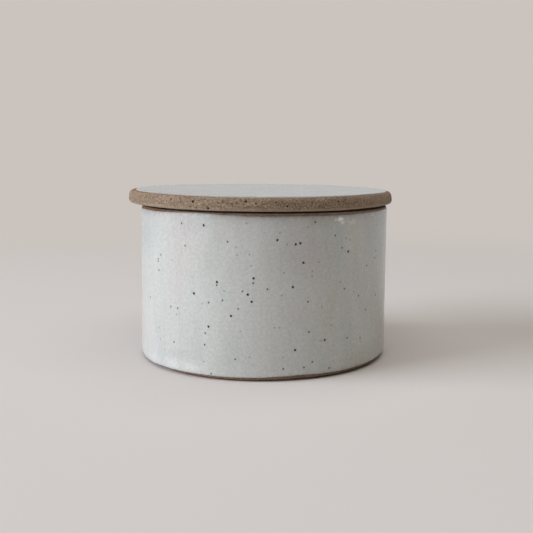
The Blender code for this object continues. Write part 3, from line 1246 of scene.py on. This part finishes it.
# %% Places of the front's specks in the photograph
LARGE_SPECKS = [
    (201.8, 225.2), (275.9, 239.6), (299.0, 242.5), (294.4, 243.7), (347.2, 250.7),
    (302.3, 262.2), (215.6, 281.7), (192.6, 293.3), (252.3, 278.0), (246.6, 294.3),
    (250.6, 301.4), (230.0, 315.7), (207.4, 326.3), (291.9, 286.5), (294.6, 349.6),
    (324.3, 339.5),
]  # fmt: skip
MIDDLING_SPECKS = [
    (179.7, 223.3), (183.5, 245.5), (225.9, 241.5), (313.9, 221.4), (334.0, 234.6),
    (341.1, 247.0), (366.0, 264.6), (375.0, 249.9), (374.0, 257.0), (156.5, 258.9),
    (156.6, 261.2), (159.2, 254.7), (157.3, 270.0), (215.4, 284.8), (252.0, 282.8),
    (241.2, 290.9), (221.3, 300.0), (237.2, 308.6), (207.4, 302.3), (149.0, 296.8),
    (169.5, 306.4), (176.4, 307.9), (204.3, 332.9), (203.9, 344.4), (173.1, 341.7),
    (266.3, 288.8), (343.7, 288.0), (357.9, 295.1), (365.0, 308.7), (375.0, 293.9),
    (307.1, 301.2), (308.4, 331.4), (346.7, 337.3), (359.7, 337.2), (234.5, 359.0),
    (282.9, 368.7), (303.6, 367.0), (312.0, 361.6), (328.9, 367.6), (210.8, 373.3),
]  # fmt: skip
FAINT_SPECKS = [
    (152.7, 214.6), (278.4, 232.5), (285.6, 243.8), (306.6, 226.6), (345.2, 237.6),
    (348.8, 238.9), (317.8, 261.6), (375.4, 223.8), (142.9, 265.9), (170.5, 259.7),
    (244.8, 223.0), (234.6, 247.0), (235.3, 254.8), (248.0, 254.3), (249.7, 265.4),
    (222.8, 290.7), (200.9, 303.5), (175.2, 314.0), (159.2, 338.9), (164.1, 349.0),
    (158.0, 327.0), (280.8, 295.1), (311.3, 270.6), (311.3, 275.8), (339.4, 281.8),
    (353.2, 291.0), (282.7, 272.6), (321.2, 306.2), (330.7, 324.7), (320.8, 340.4),
    (239.5, 330.8), (248.7, 356.9), (282.9, 357.0), (290.4, 374.7), (356.1, 364.5),
    (203.0, 361.3), (273.6, 327.4), (278.7, 327.4),
]  # fmt: skip
SPECK_KINDS = ((LARGE_SPECKS, 0.50, 1.0), (MIDDLING_SPECKS, 0.40, 0.80), (FAINT_SPECKS, 0.36, 0.42))

# %% The tree that sets the specks
LENS_WIDER = 1.5
LENS_RISE = 0.03
LENS_SUNK = 0.35
FAINTEST = 0.30  # how dark the smallest random speck is, where 1 is as dark as the largest


def lens():
    """A flat round body one unit across its half, dark in its middle and clear at its edge."""
    ball = add("GeometryNodeMeshUVSphere", {"Segments": 8, "Rings": 6, "Radius": 1.0})
    place = parts_of(position())
    reach = vectors("LENGTH", xyz(place["X"], place["Y"], 0.0))
    scale = (LENS_WIDER, LENS_WIDER, LENS_RISE)
    low = (0.0, 0.0, -LENS_SUNK * LENS_RISE)
    ball = store(ball, "iron", 1.0 - reach)
    return add("GeometryNodeTransform", {"Geometry": ball, "Translation": low, "Scale": scale})


def speck_tree():
    tree, given = new_tree("iron specks", {"Glaze": "Object", **SCATTER_INPUTS})
    surface = add("GeometryNodeObjectInfo", [given["Glaze"]])["Geometry"]
    sizes = [given["Smallest"], given["Largest"]]
    darker = add("ShaderNodeMapRange", [named("size"), *sizes, FAINTEST, 1.0])
    points = both_kinds(given, given["Geometry"], surface, 1.3, ("strength", darker))
    onto = add("GeometryNodeProximity", {"Geometry": surface}, target_element="FACES")
    points = set_position(points, Position=onto)
    normal = {"Mesh": surface, "Value": add("GeometryNodeInputNormal")}
    normal = add("GeometryNodeSampleNearestSurface", normal, data_type="FLOAT_VECTOR")
    seed = add("FunctionNodeIntegerMath", [given["Seed"], 1], operation="ADD")
    spin = add("FunctionNodeRandomValue", {"Max": math.tau, "Seed": seed}, data_type="FLOAT")
    upright = add("FunctionNodeAlignRotationToVector", {"Vector": normal}, axis="Z")
    turns = [upright, xyz(0.0, 0.0, spin)]
    turned = add("FunctionNodeRotateRotation", turns, rotation_space="LOCAL")
    longer = {"Min": 0.75, "Max": 1.25, "Seed": seed}
    longer = add("FunctionNodeRandomValue", longer, data_type="FLOAT")
    grown = vectors("SCALE", xyz(longer, 1.0, 1.0), named("size"))
    shape = {"Points": points, "Instance": lens(), "Rotation": turned, "Scale": grown}
    end_tree(add("GeometryNodeInstanceOnPoints", shape), given["Finish"])
    return tree


# %% Set the specks


def meet_crock(pixel):
    """Where a ray meets the leaning wall, just outside its glaze."""
    middle = Vector((0.0, 0.0))
    height = meet_wall(pixel, middle, RIM_RADIUS).z
    return meet_wall(pixel, middle, wall_radius(height, FOOT_RADIUS, RIM_RADIUS) + 0.2)


WALL_SPECKS = [
    (meet_crock(pixel), radius * MM, strength)
    for kind, radius, strength in SPECK_KINDS
    for pixel in kind
]
SPECKLED = {
    # glazed piece, placed specks, finish, specks to a square metre, smallest and largest radius in
    # mm, how far back random ones start in mm, seed
    "iron_specks_outside": (crock_glaze, WALL_SPECKS, SPECK, 9000.0, 0.24, 0.54, -7, 3),
    "iron_specks_inside": (crock_inside, [], SPECK, 7000.0, 0.22, 0.52, -1000, 8),
    "iron_specks_lid": (lid_glaze, [], LID_SPECK, 5500.0, 0.18, 0.42, -1000, 12),
    "iron_specks_bell": (butter_bell, [], SPECK, 7000.0, 0.22, 0.50, -1000, 17),
}
SPECK_TREE = speck_tree()
specks = {}
for name, (glaze, placed, finish, density, smallest, largest, behind, seed) in SPECKLED.items():
    places, sizes, strengths = zip(*placed) if placed else ([], [], [])
    specks[name] = run_tree(
        name,
        marked_points(places, size=sizes, strength=strengths),
        SPECK_TREE,
        glaze=glaze,
        finish=finish,
        density=density,
        smallest=smallest * MM,
        largest=largest * MM,
        hidden_side=behind * MM,
        seed=seed,
    )

# %% [markdown]
# ## How the pieces sit
#
# The pot was made by hand, so its wall leans half a degree, and its rim and the lid on it are a
# little over half a millimetre lower on the right than on the left. The slab bends up by a third of
# a millimetre at its left. All the pieces of the crock are sheared alike, so nothing opens between
# them, and the foot stays flat on the table.

# %% Lean the wall and tip the rim and the lid
WALL_LEAN = 0.0084
LEANS_FROM = 8
RIM_TIP = -0.0061
LID_BEND = 0.35
SPECKS_OUTSIDE, SPECKS_INSIDE, SPECKS_LID, SPECKS_BELL = specks.values()
CROCK_PIECES = [crock_clay, crock_glaze, crock_inside, SPECKS_OUTSIDE, SPECKS_INSIDE]
LID_PIECES = [lid_slab, lid_glaze, lid_under, butter_bell, SPECKS_LID, SPECKS_BELL]

for piece in CROCK_PIECES:
    places = vertices(piece)
    x, z = places[:, 0].copy(), places[:, 2].copy()
    places[:, 0] += WALL_LEAN * (z - LEANS_FROM)
    places[:, 2] += RIM_TIP * x * z / CROCK_HEIGHT
    put_vertices(piece, places)
for piece in LID_PIECES:
    places = vertices(piece)
    x = places[:, 0]
    places[:, 2] += RIM_TIP * x + LID_BEND * ease(x, -18, -70)
    put_vertices(piece, places)
print("the rim is tipped by", round(2 * RIM_TIP * RIM_RADIUS, 2), "mm from left to right")

# %% [markdown]
# ## The table and the light
#
# The photograph has a pale cloth that runs up behind the pot, daylight from the left, and a soft
# shadow to the right. A plain matt table stands for the cloth. Near the pot it is lit and takes the
# shadow. Further out it turns into the backdrop's colour, which the world shows too, so that no
# horizon cuts through the picture in any view. That colour is only what the camera and reflections
# see, and adds no light to the pot. Reflections see it without its warm cast.

# %% The table
TABLE = (0.648, 0.613, 0.590, 1.0)
BACKDROP = (0.597, 0.552, 0.515)
REFLECTED = (0.562, 0.552, 0.546)
TABLE_DROP = 0.1
TABLE_RADIUS = 4000


def backdrop():
    """The backdrop's colour, and 1 for rays from the camera or a reflection, 0 for other rays."""
    path = add("ShaderNodeLightPath")
    glossy = path["Is Glossy Ray"]
    return blend(glossy, BACKDROP, REFLECTED), maths("MAXIMUM", path["Is Camera Ray"], glossy)


table_material, shader, place = new_material("matt_table")
shader.inputs["Base Color"].default_value = TABLE
shader.inputs["Roughness"].default_value = 1.0
shader.inputs["Specular IOR Level"].default_value = 0.0
colour, seen = backdrop()
shown = add("ShaderNodeEmission", {"Color": colour, "Strength": 1.0})
far = ramp(vectors("LENGTH", place), 200, 600)
mixed = add("ShaderNodeMixShader", [far * seen, Link(shader), shown])
feed(Link.tree.nodes["Material Output"], Surface=mixed)
table = turn(
    "table",
    contour((TABLE_RADIUS, -TABLE_DROP, 0, 200), (0, -TABLE_DROP, 0, 100)),
    lambda radius, height: {},
    table_material,
    sides=96,
)

# %% [markdown]
# A window is far brighter than all it lights, and on a lid seen against the light its mirror image
# is a bare white patch. So the window's lamp lights the pot but has no mirror image, and a dimmer
# lamp in the same place gives the glaze its gleam. The doorway's lamp has no mirror image either.

# %% The window, the ceiling and the far wall
LIGHTS = {
    # degrees round from the front, degrees up, metres away, width, height, strength, colour
    "window": (-74.5, 18.5, 3.0, 2.2, 1.7, 1.26, (0.94, 0.987, 1.085)),
    "window_gleam": (-74.5, 18.5, 3.0, 2.2, 1.7, 0.30, (0.97, 1.0, 1.03)),
    "ceiling": (30.0, 80.0, 2.4, 3.5, 3.5, 0.90, (1.045, 1.0, 0.94)),
    "doorway": (76.0, 9.0, 3.0, 0.6, 0.55, 0.055, (0.94, 1.0, 1.08)),
    "far_wall": (125.0, 35.0, 3.0, 1.2, 1.2, 0.035, (0.94, 1.0, 1.08)),
}


def hang_lamp(name, around, up, away, width, height, strength, colour):
    """A soft lamp that faces the pot; strength 1 lights white as brightly as it is written."""
    data = bpy.data.lights.new(name, "AREA")
    data.shape = "RECTANGLE"
    data.size, data.size_y = width, height
    data.energy = strength * (math.pi * away) ** 2
    data.color = colour
    around, up = math.radians(around), math.radians(up)
    flat = math.cos(up)
    place = Vector((math.sin(around) * flat, -math.cos(around) * flat, math.sin(up)))
    lamp = bpy.data.objects.new(name, data)
    lamp.location = away * place
    lamp.rotation_euler = (-place).to_track_quat("-Z", "Y").to_euler()
    lamp.visible_camera = False
    lamp.visible_glossy = name not in ("window", "doorway")
    lamp.visible_diffuse = name != "window_gleam"
    bpy.context.scene.collection.objects.link(lamp)
    print(name, "lamp of", round(data.energy, 1), "W")


for name, light in LIGHTS.items():
    hang_lamp(name, *light)

ROOM_LIGHT = (0.04, 0.04, 0.04)
world = bpy.data.worlds.new("room")
bpy.context.scene.world = world
world.use_nodes = True
Link.tree = world.node_tree
colour, seen = backdrop()
feed(Link.tree.nodes["Background"], Color=blend(seen, ROOM_LIGHT, colour))

# %% [markdown]
# ## Putting the pieces in the frame
#
# Every piece rides on the body that it moves with. The finer pieces stand for the three solids.

# %% Ride, and stand for the solids
CROCK_SLOTS = {"crock_clay": "bare_clay"}
LID_SLOTS = {
    "lid_clay": "bare_clay",
    "butter_bell_glazed": "bell_glaze",
    "iron_specks_bell": "bell_glaze",
}
PLACES = {
    # body: its pieces, the solid that they stand for, slots of single pieces, slot of the others
    "crock": (CROCK_PIECES, "crock", CROCK_SLOTS, "glaze"),
    "lid": (LID_PIECES, "lid_slab", LID_SLOTS, "lid_glaze"),
}
for body, (pieces, node, slots, slot) in PLACES.items():
    for piece in pieces:
        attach(piece, body)
        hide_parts("butter_bell" if "bell" in piece.name else node)
